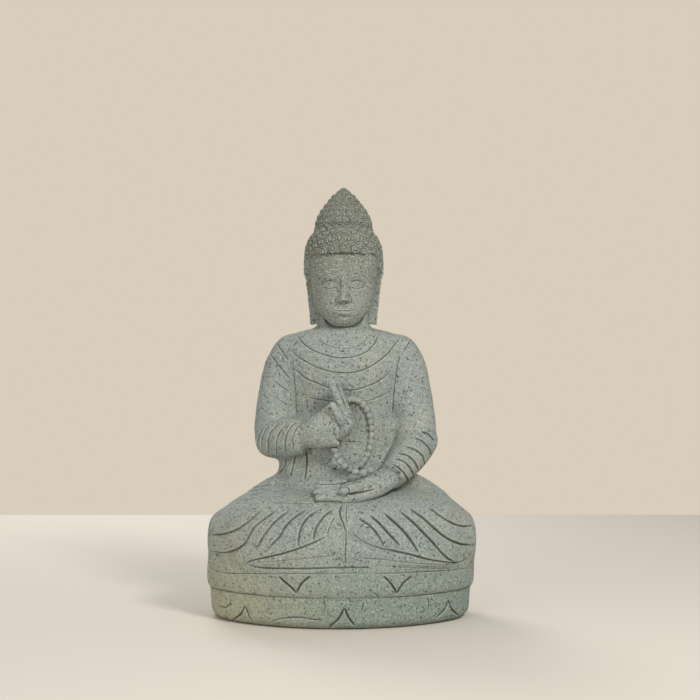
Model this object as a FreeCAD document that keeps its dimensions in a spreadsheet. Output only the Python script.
import FreeCAD, Part
import math
import os

import Sketcher

# A seated figure on a double lotus base, carved from one block of grey-green stone.
# The real statue is a single stone. Each carved form is a solid of its own here, and
# neighbours meet face to face where the carver left the stone whole.
# Millimetres. The front faces -Y, +Z is up and the origin is under the middle of the base.
# "right" and "left" are the figure's own, so its right hand is on the -X side.

Vector = FreeCAD.Vector

# Driving dimensions, by name.
SIZES = {
    # lotus base: two oval tiers and the robe's hem that lies on them
    "lower_tier_height": 70,
    "lower_tier_half_width": 302,
    "lower_tier_half_depth": 214,
    "lower_tier_foot_round": 18,
    "lower_tier_top_round": 12,
    "upper_tier_height": 50,
    "upper_tier_half_width": 309,
    "upper_tier_half_depth": 219,
    "upper_tier_foot_round": 14,
    "upper_tier_top_round": 8,
    "hem_height": 17,
    "hem_half_width": 309,
    "hem_half_depth": 219,
    "hem_round": 6,
    "oval_end_radius": 150,
    # head: topknot, hair and ears
    "head_back": 38,
    "hair_half_width": 92,
    "hair_half_depth": 108,
    "hair_half_height": 95,
    "hair_centre_height": 812,
    "hairline_height": 837,
    "hairline_slope": 27,
    "ear_length": 121,
    "ear_top_radius": 20,
    "lobe_width": 24,
    "ear_thickness": 15,
    "ear_hollow_depth": 6,
    "ear_rim": 7,
    "ear_foot_height": 677,
    "ear_inset": 25,
    "ear_lean": 9.5,
    # hands
    "finger_radius": 7.6,
    "fingertip_radius": 5.6,
    "thumb_radius": 8.8,
    "long_finger_length": 92,
    "ring_finger_length": 88,
    "index_finger_length": 80,
    "little_finger_length": 64,
    "thumb_length": 44,
    "left_finger_length": 74,
    # prayer beads
    "bead_radius": 7.4,
    "bead_gap": 0.6,
    "cord_radius": 4.2,
    "loop_half_width": 51,
    "loop_half_height": 80,
    "loop_centre_x": 20,
    "loop_centre_y": -71,
    "loop_centre_z": 424,
    "loop_turn": 30,
}

# Cross-sections of each sculpted mass: centre x, y, z, half size across and half size deep.
SECTIONS = {
    "lap": {
        "middle": (0, 10, 198, 196, 100),
        "hip": (120, 6, 199, 188, 101),
        "thigh": (200, 0, 200, 163, 97),
        "knee_top": (252, -4, 192, 128, 85),
        "knee": (286, -6, 182, 92, 68),
    },
    "shin": {
        "front": (38, -148, 168, 64, 60),
        "calf": (120, -136, 160, 66, 54),
        "under_knee": (222, -88, 148, 56, 38),
    },
    "torso": {
        "seat": (0, 50, 232, 182, 130),
        "hip": (0, 50, 290, 170, 124),
        "waist": (0, 48, 345, 146, 112),
        "belt": (0, 47, 400, 126, 105),
        "ribs": (0, 47, 470, 126, 108),
        "chest": (0, 48, 545, 142, 116),
        "armpit": (0, 48, 600, 150, 110),
        "shoulder": (0, 46, 640, 138, 86),
        "yoke": (0, 45, 655, 118, 74),
        "collar": (0, 44, 664, 86, 65),
    },
    "neck": {
        "foot": (0, 42, 640, 68, 64),
        "throat": (0, 40, 676, 58, 58),
        "nape": (0, 40, 712, 55, 56),
        "top": (0, 38, 760, 48, 50),
    },
    "head": {
        "jaw": (0, -2, 684, 43, 46),
        "mouth": (0, 12, 712, 62, 70),
        "cheek": (0, 25, 748, 74, 86),
        "temple": (0, 33, 790, 78, 95),
        "brow": (0, 36, 828, 76, 97),
        "crown": (0, 38, 858, 65, 84),
    },
    "topknot": {
        "seat": (0, 38, 884, 67, 67),
        "foot": (0, 38, 900, 67, 67),
        "swell": (0, 38, 914, 66, 66),
        "slope": (0, 38, 937, 58, 58),
        "drawn_in": (0, 38, 958, 44, 44),
        "narrow": (0, 38, 980, 27, 27),
        "tip": (0, 38, 1000, 11, 11),
    },
    "right_upper_arm": {
        "shoulder": (-124, 46, 598, 56, 64),
        "biceps": (-149, 32, 520, 50, 58),
        "elbow": (-163, 8, 434, 46, 52),
    },
    "right_forearm": {
        "elbow": (-160, -8, 412, 47, 47),
        "middle": (-124, -44, 414, 42, 46),
        "wrist": (-92, -70, 420, 35, 40),
    },
    "right_cuff": {
        "back": (-106, -60, 418, 20, 22),
        "fold": (-56, -90, 431, 28, 40),
        "mouth": (-22, -97, 445, 28, 56),
    },
    "right_palm": {
        "wrist": (-14, -104, 402, 15, 20),
        "heel": (0, -106, 424, 17, 27),
        "knuckles": (11, -107, 452, 15, 31),
    },
    "left_upper_arm": {
        "shoulder": (130, 46, 598, 58, 64),
        "biceps": (154, 32, 520, 51, 58),
        "elbow": (169, 6, 430, 48, 53),
    },
    "left_forearm": {
        "elbow": (170, -4, 406, 48, 48),
        "middle": (150, -46, 374, 45, 43),
        "cuff": (118, -84, 344, 41, 36),
    },
    "left_palm": {
        "wrist": (124, -78, 340, 21, 20),
        "heel": (88, -100, 318, 30, 20),
        "middle": (42, -110, 299, 31, 16),
        "knuckles": (3, -114, 292, 29, 11),
    },
    "left_thumb": {
        "root": (68, -106, 322, 15, 14),
        "joint": (32, -121, 311, 10, 10),
        "tip": (4, -128, 300, 8, 8),
    },
}
SECTION_SIZES = ("x", "y", "z", "across", "deep")

# Fingers: where the knuckle's centre is, and the way the finger points.
FINGERS = {
    "right_little_finger": (6, -125, 442, -0.52, -0.1, 0.85),
    "right_ring_finger": (6, -115, 455, -0.33, 0.02, 0.95),
    "right_middle_finger": (14, -102, 459, -0.33, 0.04, 0.95),
    "right_index_finger": (18, -89, 452, -0.22, 0.05, 0.97),
    "right_thumb": (-3, -90, 424, -0.42, 0.02, 0.91),
    "left_index_finger": (6, -101, 308, -1, 0, 0),
    "left_middle_finger": (6, -110, 299, -1, 0, 0),
    "left_ring_finger": (6, -119, 290, -1, 0, 0),
    "left_little_finger": (6, -128, 281, -1, 0, 0),
}
FINGER_SIZES = ("x", "y", "z", "way_x", "way_y", "way_z")
KNUCKLES_SET_FOR = 7.6  # finger radius for which the knuckles above are set out

# How far each mass is carried on beyond its end sections, and how its rims are rounded.
ENDS = {
    "lap_reach": 27,
    "lap_round": 40,
    "shin_front_reach": 64,
    "shin_end_reach": 8,
    "chin_reach": 14,
    "chin_round": 14,
    "crown_reach": 20,
    "crown_round": 40,
    "topknot_round": 8,
    "shoulder_reach": 50,
    "shoulder_round": 38,
    "elbow_reach": 38,
    "elbow_round": 34,
    "palm_foot_reach": 10,
    "palm_foot_round": 8,
    "palm_top_reach": 12,
    "palm_top_round": 11,
    "left_palm_reach": 11,
    "thumb_root_reach": 8,
    "thumb_root_round": 7,
    "thumb_tip_reach": 6,
    "thumb_tip_round": 6,
}

FULLNESS = 2.3  # exponent of the oval sections: 2 is an ellipse, and more is squarer
OVAL_POINTS = 16
DRAWN_IN = 0.93  # how much smaller a carried-on end is than the section before it

doc = FreeCAD.newDocument("seated_buddha")
sheet = doc.addObject("Spreadsheet::Sheet", "sizes")


def fill_sheet():
    """Writes every driving dimension into the sheet, each with its own alias."""
    named = dict(SIZES)
    named.update(ENDS)
    for mass, sections in SECTIONS.items():
        for section, numbers in sections.items():
            for size_name, number in zip(SECTION_SIZES, numbers):
                named[f"{mass}_{section}_{size_name}"] = number
    for label, numbers in FINGERS.items():
        for size_name, number in zip(FINGER_SIZES, numbers):
            named[f"{label}_{size_name}"] = number
    for row, (alias, number) in enumerate(named.items(), 1):
        sheet.set(f"A{row}", alias)
        sheet.set(f"B{row}", str(number))
        sheet.setAlias(f"B{row}", alias)
    doc.recompute()


def size(alias):
    """A number read back from the sheet."""
    return float(sheet.get(alias))


def bind(thing, **expressions):
    """Ties properties of a document object to cells of the sheet."""
    for prop, expression in expressions.items():
        thing.setExpression(prop.replace("__", "."), expression)


# ---------------------------------------------------------------- sculpted masses


def oval(centre, normal, across, half_across, half_deep):
    """A closed smooth oval round centre, in the plane square to normal."""
    normal = Vector(normal).normalize()
    side = Vector(across) - normal * normal.dot(Vector(across))
    side.normalize()
    up = normal.cross(side)
    points = []
    for step in range(OVAL_POINTS):
        angle = 2 * math.pi * step / OVAL_POINTS
        reach_side = math.copysign(abs(math.cos(angle)) ** (2 / FULLNESS), math.cos(angle))
        reach_up = math.copysign(abs(math.sin(angle)) ** (2 / FULLNESS), math.sin(angle))
        points.append(centre + side * (half_across * reach_side) + up * (half_deep * reach_up))
    curve = Part.BSplineCurve()
    curve.interpolate(Points=points, PeriodicFlag=True)
    return Part.Wire([curve.toShape()])


def read_sections(mass, mirror=False):
    """The sections of a mass as (centre, half across, half deep), from the sheet."""
    found = []
    for section in SECTIONS[mass]:
        x, y, z, across, deep = (size(f"{mass}_{section}_{what}") for what in SECTION_SIZES)
        found.append((Vector(-x if mirror else x, y, z), across, deep))
    return found


def extended(sections, way, reach):
    """The sections with one more beyond the last, reach further on and a little smaller."""
    centre, half_across, half_deep = sections[-1]
    if way is None:
        way = (centre - sections[-2][0]).normalize()
    return sections + [(centre + way * reach, half_across * DRAWN_IN, half_deep * DRAWN_IN)]


def loft(sections, across, normal=None, reaches=(0, 0), rounds=(0, 0)):
    """A solid through the sections, with the ends carried on by reaches and their rims rounded.

    Without a normal, each oval stands square to the line of centres."""
    if reaches[0]:
        way = normal * -1 if normal else None
        sections = extended(sections[::-1], way, reaches[0])[::-1]
    if reaches[1]:
        sections = extended(sections, normal, reaches[1])
    centres = [centre for centre, _, _ in sections]
    last = len(centres) - 1
    rings = []
    for number, (centre, half_across, half_deep) in enumerate(sections):
        along = normal or centres[min(number + 1, last)] - centres[max(number - 1, 0)]
        rings.append(oval(centre, along, across, half_across, half_deep))
    solid, ruled, closed, degree = True, False, False, 3
    mass = Part.makeLoft(rings, solid, ruled, closed, degree)
    for end, radius in ((centres[0], rounds[0]), (centres[-1], rounds[1])):
        if radius:
            rim = [edge for edge in mass.Edges if is_rim(edge, end, radius)]
            mass = mass.makeFillet(radius, rim)
    return mass


def is_rim(edge, end, radius):
    """Whether an edge is the closed outline of the flat end round the point end."""
    middle = edge.CenterOfMass - end
    return edge.isClosed() and middle.Length < radius / 4


def mass_feature(name, shape):
    """A document object that holds a sculpted mass."""
    feature = doc.addObject("Part::Feature", name)
    feature.Shape = shape
    return feature


def fitted(label, blank, *neighbours):
    """The blank with its neighbours' forms cut out of it, so that they meet face to face."""
    result = blank
    for neighbour in neighbours:
        cut = doc.addObject("Part::Cut", f"{label}_cut")
        cut.Base = result
        cut.Tool = neighbour
        cut.Refine = False
        result = cut
    doc.recompute()
    result.Label = label
    return result


def half_space(name, side):
    """A box that holds everything on one side of the middle plane: side is -1 or 1."""
    box = doc.addObject("Part::Box", name)
    bind(
        box,
        Length="sizes.hem_half_width * 2",
        Width="sizes.hem_half_depth * 4",
        Height="sizes.hem_half_width * 4",
        Placement__Base__y="-sizes.hem_half_depth * 2",
        Placement__Base__x="0" if side > 0 else "-sizes.hem_half_width * 2",
    )
    return box


# ---------------------------------------------------------------- lotus base


def oval_sketch(body, half_width, half_depth):
    """Four tangent arcs: broad ones at the front and back, and tighter ones at the ends."""
    sketch = body.newObject("Sketcher::SketchObject", body.Name + "_plan")
    plane = next(p for p in body.Origin.OriginFeatures if p.Role == "XY_Plane")
    sketch.AttachmentSupport = (plane, [""])
    sketch.MapMode = "FlatFace"
    wide, deep, tight = size(half_width), size(half_depth), size("oval_end_radius")
    end_x = wide - tight
    back_y = (end_x**2 - (deep - tight) ** 2) / (2 * (deep - tight))
    broad = back_y + deep
    turn = math.atan2(back_y, end_x)
    ends = [Vector(end_x, 0, 0), Vector(-end_x, 0, 0)]
    arcs = [
        (Vector(0, back_y, 0), broad, math.pi + turn, 2 * math.pi - turn),
        (ends[0], tight, -turn, turn),
        (Vector(0, -back_y, 0), broad, turn, math.pi - turn),
        (ends[1], tight, math.pi - turn, math.pi + turn),
    ]
    for centre, radius, start, stop in arcs:
        circle = Part.Circle(centre, Vector(0, 0, 1), radius)
        sketch.addGeometry(Part.ArcOfCircle(circle, start, stop), False)
    start_point, end_point, centre_point, x_axis, y_axis = 1, 2, 3, -1, -2
    for arc in range(3):
        after = arc + 1
        sketch.addConstraint(Sketcher.Constraint("Tangent", arc, end_point, after, start_point))
    # the fourth joint is tangent by symmetry once the other three are
    sketch.addConstraint(Sketcher.Constraint("Coincident", 3, end_point, 0, start_point))
    for arc, axis in ((0, y_axis), (1, x_axis), (2, y_axis)):
        sketch.addConstraint(Sketcher.Constraint("PointOnObject", arc, centre_point, axis))
    sketch.addConstraint(Sketcher.Constraint("Horizontal", 0, start_point, 0, end_point))
    sketch.addConstraint(Sketcher.Constraint("Equal", 0, 2))
    sketch.addConstraint(Sketcher.Constraint("Equal", 1, 3))
    tight_one = sketch.addConstraint(Sketcher.Constraint("Radius", 1, tight))
    broad_one = sketch.addConstraint(Sketcher.Constraint("Radius", 0, broad))
    reach = sketch.addConstraint(
        Sketcher.Constraint("DistanceX", -1, 1, 1, centre_point, end_x)
    )
    sketch.setExpression(f"Constraints[{tight_one}]", "sizes.oval_end_radius")
    sketch.setExpression(f"Constraints[{reach}]", f"sizes.{half_width} - sizes.oval_end_radius")
    width_part = f"(sizes.{half_width} - sizes.oval_end_radius)"
    depth_part = f"(sizes.{half_depth} - sizes.oval_end_radius)"
    sketch.setExpression(
        f"Constraints[{broad_one}]",
        f"({width_part}^2 - {depth_part}^2) / (2 * {depth_part}) + sizes.{half_depth}",
    )
    return sketch


def rounded_tier(label, half_width, half_depth, height, foot, foot_round, top_round):
    """An oval slab with rounded rims. foot is an expression for the height it stands at."""
    body = doc.addObject("PartDesign::Body", label)
    sketch = oval_sketch(body, half_width, half_depth)
    pad = body.newObject("PartDesign::Pad", label + "_pad")
    pad.Profile = sketch
    bind(pad, Length=f"sizes.{height}")
    doc.recompute()
    tall = size(height)
    solid = pad
    for place, radius in ((0.0, foot_round), (tall, top_round)):
        rim = [
            f"Edge{number}"
            for number, edge in enumerate(solid.Shape.Edges, 1)
            if all(abs(vertex.Z - place) < 1e-6 for vertex in edge.Vertexes)
        ]
        fillet = body.newObject("PartDesign::Fillet", f"{label}_rim")
        fillet.Base = (solid, rim)
        bind(fillet, Radius=f"sizes.{radius}")
        doc.recompute()
        solid = fillet
    bind(body, Placement__Base__z=foot)
    body.Label = label
    return body


# ---------------------------------------------------------------- head


def make_hair(head):
    """A shell of hair over the skull, cut off along the hairline, which slopes down to the nape."""
    ball = doc.addObject("Part::Ellipsoid", "hair_ball")
    bind(
        ball,
        Radius1="sizes.hair_half_height",
        Radius2="sizes.hair_half_width",
        Radius3="sizes.hair_half_depth",
        Placement__Base__y="sizes.head_back",
        Placement__Base__z="sizes.hair_centre_height",
    )
    below = doc.addObject("Part::Box", "below_hairline")
    reach = 4 * size("hair_half_depth")
    below.Placement = FreeCAD.Placement(
        Vector(-reach / 2, size("head_back") - size("hair_half_depth"), size("hairline_height")),
        FreeCAD.Rotation(Vector(1, 0, 0), -size("hairline_slope")),
    ).multiply(FreeCAD.Placement(Vector(0, -reach / 4, -reach), FreeCAD.Rotation()))
    bind(
        below,
        Length="sizes.hair_half_depth * 4",
        Width="sizes.hair_half_depth * 4",
        Height="sizes.hair_half_depth * 4",
    )
    band = fitted("hair_band", ball, below)
    return ball, band, fitted("hair_cap", band, head)


def make_ear(label, side, *neighbours):
    """A long ear: a round rim with a hollow, drawn down into a heavy lobe cut off square."""
    body = doc.addObject("PartDesign::Body", label + "_form")
    plane = next(p for p in body.Origin.OriginFeatures if p.Role == "YZ_Plane")

    def outline(name, inset, foot, offset):
        sketch = body.newObject("Sketcher::SketchObject", name)
        sketch.AttachmentSupport = (plane, [""])
        sketch.MapMode = "FlatFace"
        sketch.AttachmentOffset = FreeCAD.Placement(Vector(0, 0, offset), FreeCAD.Rotation())
        radius = size("ear_top_radius") - inset
        half_lobe = size("lobe_width") / 2 - inset
        middle = size("ear_length") - size("ear_top_radius")
        circle = Part.Circle(Vector(0, middle, 0), Vector(0, 0, 1), radius)
        sketch.addGeometry(Part.ArcOfCircle(circle, 0, math.pi), False)
        left_top, right_top = Vector(-radius, middle, 0), Vector(radius, middle, 0)
        left_foot, right_foot = Vector(-half_lobe, foot, 0), Vector(half_lobe, foot, 0)
        sketch.addGeometry(Part.LineSegment(left_top, left_foot), False)
        sketch.addGeometry(Part.LineSegment(left_foot, right_foot), False)
        sketch.addGeometry(Part.LineSegment(right_foot, right_top), False)
        for first, at, after, to in ((0, 2, 1, 1), (1, 2, 2, 1), (2, 2, 3, 1), (3, 2, 0, 1)):
            sketch.addConstraint(Sketcher.Constraint("Coincident", first, at, after, to))
        sketch.addConstraint(Sketcher.Constraint("PointOnObject", 0, 3, -2))
        sketch.addConstraint(Sketcher.Constraint("Horizontal", 2))
        sketch.addConstraint(Sketcher.Constraint("Equal", 1, 3))
        round_top = sketch.addConstraint(Sketcher.Constraint("Radius", 0, radius))
        lobe = sketch.addConstraint(Sketcher.Constraint("DistanceX", 2, 1, 2, 2, 2 * half_lobe))
        sketch.setExpression(f"Constraints[{round_top}]", f"sizes.ear_top_radius - {inset}")
        sketch.setExpression(f"Constraints[{lobe}]", f"sizes.lobe_width - {2 * inset}")
        return sketch

    pad = body.newObject("PartDesign::Pad", label + "_pad")
    pad.Profile = outline(label + "_outline", 0, 0, 0)
    bind(pad, Length="sizes.ear_thickness")
    pad.Midplane = True
    doc.recompute()
    half_thick = size("ear_thickness") / 2
    rim = size("ear_rim")
    hollow = body.newObject("PartDesign::Pocket", label + "_hollow")
    hollow.Profile = outline(label + "_hollow_outline", rim, size("ear_length") / 2, side * half_thick)
    hollow.Reversed = side < 0
    bind(hollow, Length="sizes.ear_hollow_depth")
    doc.recompute()
    foot_out = size("hair_half_width") - size("ear_inset")
    body.Placement = FreeCAD.Placement(
        Vector(side * foot_out, size("head_back"), size("ear_foot_height")),
        FreeCAD.Rotation(Vector(0, 1, 0), side * size("ear_lean")),
    )
    doc.recompute()
    return fitted(label, body, *neighbours)


# ---------------------------------------------------------------- hands and beads


def knuckle_of(label):
    """Where a knuckle sits. Thicker fingers push their neighbours away from the middle one."""
    place = Vector(*[size(f"{label}_{what}") for what in FINGER_SIZES[:3]])
    if label.endswith("thumb"):
        return place
    middle_finger = label.split("_")[0] + "_middle_finger"
    middle = Vector(*[size(f"{middle_finger}_{what}") for what in FINGER_SIZES[:3]])
    return middle + (place - middle) * (size("finger_radius") / KNUCKLES_SET_FOR)


def finger(label, length_cell, radius_cell):
    """A finger turned about its own axis: round at the knuckle, tapering to a smaller round tip."""
    body = doc.addObject("PartDesign::Body", label + "_form")
    sketch = body.newObject("Sketcher::SketchObject", label + "_profile")
    plane = next(p for p in body.Origin.OriginFeatures if p.Role == "XZ_Plane")
    sketch.AttachmentSupport = (plane, [""])
    sketch.MapMode = "FlatFace"
    length, radius, small = size(length_cell), size(radius_cell), size("fingertip_radius")
    close = length - small
    axis_way = Vector(0, 0, 1)
    ball = Part.Circle(Vector(0, 0, 0), axis_way, radius)
    cap = Part.Circle(Vector(0, close, 0), axis_way, small)
    sketch.addGeometry(Part.ArcOfCircle(ball, -math.pi / 2, 0), False)
    sketch.addGeometry(Part.LineSegment(Vector(radius, 0, 0), Vector(small, close, 0)), False)
    sketch.addGeometry(Part.ArcOfCircle(cap, 0, math.pi / 2), False)
    sketch.addGeometry(Part.LineSegment(Vector(0, length, 0), Vector(0, -radius, 0)), False)
    for first, at, after, to in ((0, 2, 1, 1), (1, 2, 2, 1), (2, 2, 3, 1), (3, 2, 0, 1)):
        sketch.addConstraint(Sketcher.Constraint("Coincident", first, at, after, to))
    sketch.addConstraint(Sketcher.Constraint("Coincident", 0, 3, -1, 1))
    sketch.addConstraint(Sketcher.Constraint("PointOnObject", 1, 1, -1))
    sketch.addConstraint(Sketcher.Constraint("Vertical", 3))
    sketch.addConstraint(Sketcher.Constraint("PointOnObject", 2, 3, -2))
    sketch.addConstraint(Sketcher.Constraint("Horizontal", 2, 3, 2, 1))
    thick = sketch.addConstraint(Sketcher.Constraint("Radius", 0, radius))
    slim = sketch.addConstraint(Sketcher.Constraint("Radius", 2, small))
    tall = sketch.addConstraint(Sketcher.Constraint("DistanceY", -1, 1, 2, 2, length))
    sketch.setExpression(f"Constraints[{thick}]", f"sizes.{radius_cell}")
    sketch.setExpression(f"Constraints[{slim}]", "sizes.fingertip_radius")
    sketch.setExpression(f"Constraints[{tall}]", f"sizes.{length_cell}")
    turn = body.newObject("PartDesign::Revolution", label + "_turn")
    turn.Profile = sketch
    turn.ReferenceAxis = (sketch, ["V_Axis"])
    turn.Angle = 360
    way = Vector(*[size(f"{label}_{what}") for what in FINGER_SIZES[3:]])
    body.Placement = FreeCAD.Placement(knuckle_of(label), FreeCAD.Rotation(axis_way, way))
    doc.recompute()
    return body


def right_hand(parts, cuff_form):
    """The raised right hand: a narrow palm, three fingers held up, the thumb and a bent little finger."""
    reaches = (size("palm_foot_reach"), size("palm_top_reach"))
    rounds = (size("palm_foot_round"), size("palm_top_round"))
    palm_form = mass_feature(
        "right_palm_form",
        loft(read_sections("right_palm"), Vector(1, 0, 0), None, reaches, rounds),
    )
    parts.append(fitted("right_palm", palm_form, cuff_form))
    forms = [palm_form]
    for label, length, thick in (
        ("right_middle_finger", "long_finger_length", "finger_radius"),
        ("right_ring_finger", "ring_finger_length", "finger_radius"),
        ("right_index_finger", "index_finger_length", "finger_radius"),
        ("right_little_finger", "little_finger_length", "finger_radius"),
        ("right_thumb", "thumb_length", "thumb_radius"),
    ):
        form = finger(label, length, thick)
        parts.append(fitted(label, form, *forms, cuff_form))
        forms.insert(0, form)
    return forms + [cuff_form]


def left_hand(parts, forearm_form, lap_form, torso_form):
    """The left hand, palm up on the lap, with its thumb lying over the palm."""
    sections = read_sections("left_palm")
    palm_reach = (0, size("left_palm_reach"))
    palm_form = mass_feature(
        "left_palm_form", loft(sections, Vector(0, 1, 0.9), None, palm_reach)
    )
    parts.append(fitted("left_palm", palm_form, forearm_form, torso_form, lap_form))
    reaches = (size("thumb_root_reach"), size("thumb_tip_reach"))
    rounds = (size("thumb_root_round"), size("thumb_tip_round"))
    thumb_form = mass_feature(
        "left_thumb_form",
        loft(read_sections("left_thumb"), Vector(0, 1, 0), None, reaches, rounds),
    )
    parts.append(fitted("left_thumb", thumb_form, palm_form, forearm_form))
    forms = [palm_form, thumb_form]
    for name in ("index", "middle", "ring", "little"):
        label = f"left_{name}_finger"
        form = finger(label, "left_finger_length", "finger_radius")
        parts.append(fitted(label, form, *forms, lap_form))
        forms.insert(0, form)
    return forms


def make_beads(neighbours):
    """The loop of prayer beads: a cord along an ellipse, and beads evenly spaced along it."""
    half_wide, half_high = size("loop_half_width"), size("loop_half_height")
    centre = Vector(size("loop_centre_x"), size("loop_centre_y"), size("loop_centre_z"))
    turn = FreeCAD.Rotation(Vector(0, 0, 1), size("loop_turn"))
    stand = FreeCAD.Rotation(Vector(1, 0, 0), 90)
    path = doc.addObject("Part::Ellipse", "loop_path")
    bind(path, MajorRadius="sizes.loop_half_height", MinorRadius="sizes.loop_half_width")
    upright = FreeCAD.Rotation(Vector(0, 0, 1), 90)
    path.Placement = FreeCAD.Placement(centre, turn.multiply(stand).multiply(upright))
    doc.recompute()
    edge = path.Shape.Edges[0]
    start = edge.valueAt(edge.FirstParameter)
    heading = edge.tangentAt(edge.FirstParameter)
    section = doc.addObject("Part::Circle", "cord_section")
    bind(section, Radius="sizes.cord_radius")
    section.Placement = FreeCAD.Placement(start, FreeCAD.Rotation(Vector(0, 0, 1), heading))
    cord = doc.addObject("Part::Sweep", "cord_sweep")
    cord.Sections = [section]
    cord.Spine = (path, ["Edge1"])
    cord.Solid = True
    cord.Frenet = True
    doc.recompute()
    count = math.floor(edge.Length / (2 * size("bead_radius") + size("bead_gap")))
    spaced = edge.discretize(Number=count + 1)[:-1]
    balls = []
    for number, place in enumerate(spaced, 1):
        ball = doc.addObject("Part::Sphere", f"bead_{number}")
        bind(ball, Radius="sizes.bead_radius")
        ball.Placement = FreeCAD.Placement(place, FreeCAD.Rotation())
        balls.append(ball)
    string = doc.addObject("Part::Compound", "bead_string")
    string.Links = balls
    doc.recompute()
    beads = fitted("mala_beads", string, *neighbours)
    return [beads, fitted("mala_cord", cord, *neighbours, string)]


# ---------------------------------------------------------------- the whole figure


def build():
    """Makes every carved form and returns the document objects to export."""
    fill_sheet()
    parts = []

    lower = rounded_tier(
        "lower_lotus_tier", "lower_tier_half_width", "lower_tier_half_depth",
        "lower_tier_height", "0", "lower_tier_foot_round", "lower_tier_top_round",
    )
    upper = rounded_tier(
        "upper_lotus_tier", "upper_tier_half_width", "upper_tier_half_depth",
        "upper_tier_height", "sizes.lower_tier_height",
        "upper_tier_foot_round", "upper_tier_top_round",
    )
    hem = rounded_tier(
        "robe_hem", "hem_half_width", "hem_half_depth", "hem_height",
        "sizes.lower_tier_height + sizes.upper_tier_height", "hem_round", "hem_round",
    )
    parts += [lower, upper, hem]

    # everything above the hem starts at its top face
    below = doc.addObject("Part::Box", "below_seat")
    bind(
        below,
        Length="sizes.hem_half_width * 4",
        Width="sizes.hem_half_depth * 4",
        Height="sizes.lower_tier_height + sizes.upper_tier_height + sizes.hem_height",
        Placement__Base__x="-sizes.hem_half_width * 2",
        Placement__Base__y="-sizes.hem_half_depth * 2",
    )

    # the lap is one form, parted on the middle plane; each shin lies in front of its thigh
    across_depth, across_width, level = Vector(0, 1, 0), Vector(1, 0, 0), Vector(0, 0, 1)
    rightwards = read_sections("lap", True)
    leftwards = read_sections("lap")
    lap_sections = rightwards[:0:-1] + leftwards
    lap_reach, lap_round = size("lap_reach"), size("lap_round")
    shin_reaches = (size("shin_front_reach"), size("shin_end_reach"))
    lap_shape = loft(
        lap_sections, across_depth, across_width, (lap_reach, lap_reach), (lap_round, lap_round)
    )
    lap_form = mass_feature("lap_form", lap_shape)
    for label, mirror, beyond in (("right", True, 1), ("left", False, -1)):
        other_side = half_space(f"beyond_{label}", beyond)
        sections = read_sections("shin", mirror)
        shin_shape = loft(sections, across_depth, None, shin_reaches)
        shin_form = mass_feature(f"{label}_shin_form", shin_shape)
        shin = fitted(f"{label}_shin", shin_form, below, other_side)
        thigh = fitted(f"{label}_thigh", lap_form, below, other_side, shin_form)
        parts += [thigh, shin]

    torso_form = mass_feature("torso_form", loft(read_sections("torso"), across_width, level))
    torso = fitted("torso", torso_form, lap_form)
    head_shape = loft(
        read_sections("head"), across_width, level,
        (size("chin_reach"), size("crown_reach")), (size("chin_round"), size("crown_round")),
    )
    head = mass_feature("head", head_shape)
    neck_form = mass_feature("neck_form", loft(read_sections("neck"), across_width, level))
    neck = fitted("neck", neck_form, torso_form, head)
    hair_ball, hair_band, hair = make_hair(head)
    bun = loft(
        read_sections("topknot"), across_width, level, rounds=(0, size("topknot_round"))
    )
    topknot = fitted("topknot", mass_feature("topknot_form", bun), hair_ball)
    parts += [torso, neck, head, hair, topknot]
    parts.append(make_ear("right_ear", -1, head, hair_band, neck_form))
    parts.append(make_ear("left_ear", 1, head, hair_band, neck_form))

    arm_reaches = (size("shoulder_reach"), size("elbow_reach"))
    arm_rounds = (size("shoulder_round"), size("elbow_round"))
    arm_forms = {}
    for label in ("right", "left"):
        sections = read_sections(f"{label}_upper_arm")
        arm_form = mass_feature(
            f"{label}_upper_arm_form",
            loft(sections, across_width, None, arm_reaches, arm_rounds),
        )
        arm_forms[label] = arm_form
        parts.append(fitted(f"{label}_upper_arm", arm_form, torso_form, lap_form))
    cuff_form = mass_feature("right_cuff_form", loft(read_sections("right_cuff"), across_depth))
    parts.append(fitted("right_cuff", cuff_form, torso_form))
    reach, rounding = (size("elbow_reach"), 0), (size("elbow_round"), 0)
    forearm_forms = {}
    for label in ("right", "left"):
        sections = read_sections(f"{label}_forearm")
        forearm_form = mass_feature(
            f"{label}_forearm_form", loft(sections, across_depth, None, reach, rounding)
        )
        forearm_forms[label] = forearm_form
        beside = [cuff_form] if label == "right" else []
        parts.append(
            fitted(f"{label}_forearm", forearm_form, torso_form, arm_forms[label], *beside)
        )

    hands = right_hand(parts, cuff_form)
    hands += left_hand(parts, forearm_forms["left"], lap_form, torso_form)
    parts += make_beads(hands + [torso_form])
    return parts


def export(parts):
    """Checks every object and shape, and writes one STEP file for each part."""
    doc.recompute()
    for thing in doc.Objects:
        if "Invalid" in thing.State or "Error" in thing.State:
            raise RuntimeError(f"{thing.Label} failed: {thing.State}")
    os.makedirs("parts", exist_ok=True)
    for part in parts:
        shape = part.Shape
        if shape.isNull() or not shape.isValid() or not shape.Solids:
            raise RuntimeError(f"{part.Label} has no valid solid")
        shape.exportStep(f"parts/{part.Label}.step")
        box = shape.BoundBox
        print(f"{part.Label:22s} solids {len(shape.Solids):2d} volume {shape.Volume / 1000:9.1f} cm3 "
              f"x {box.XMin:7.1f} {box.XMax:7.1f} y {box.YMin:7.1f} {box.YMax:7.1f} "
              f"z {box.ZMin:6.1f} {box.ZMax:6.1f}")


export(build())
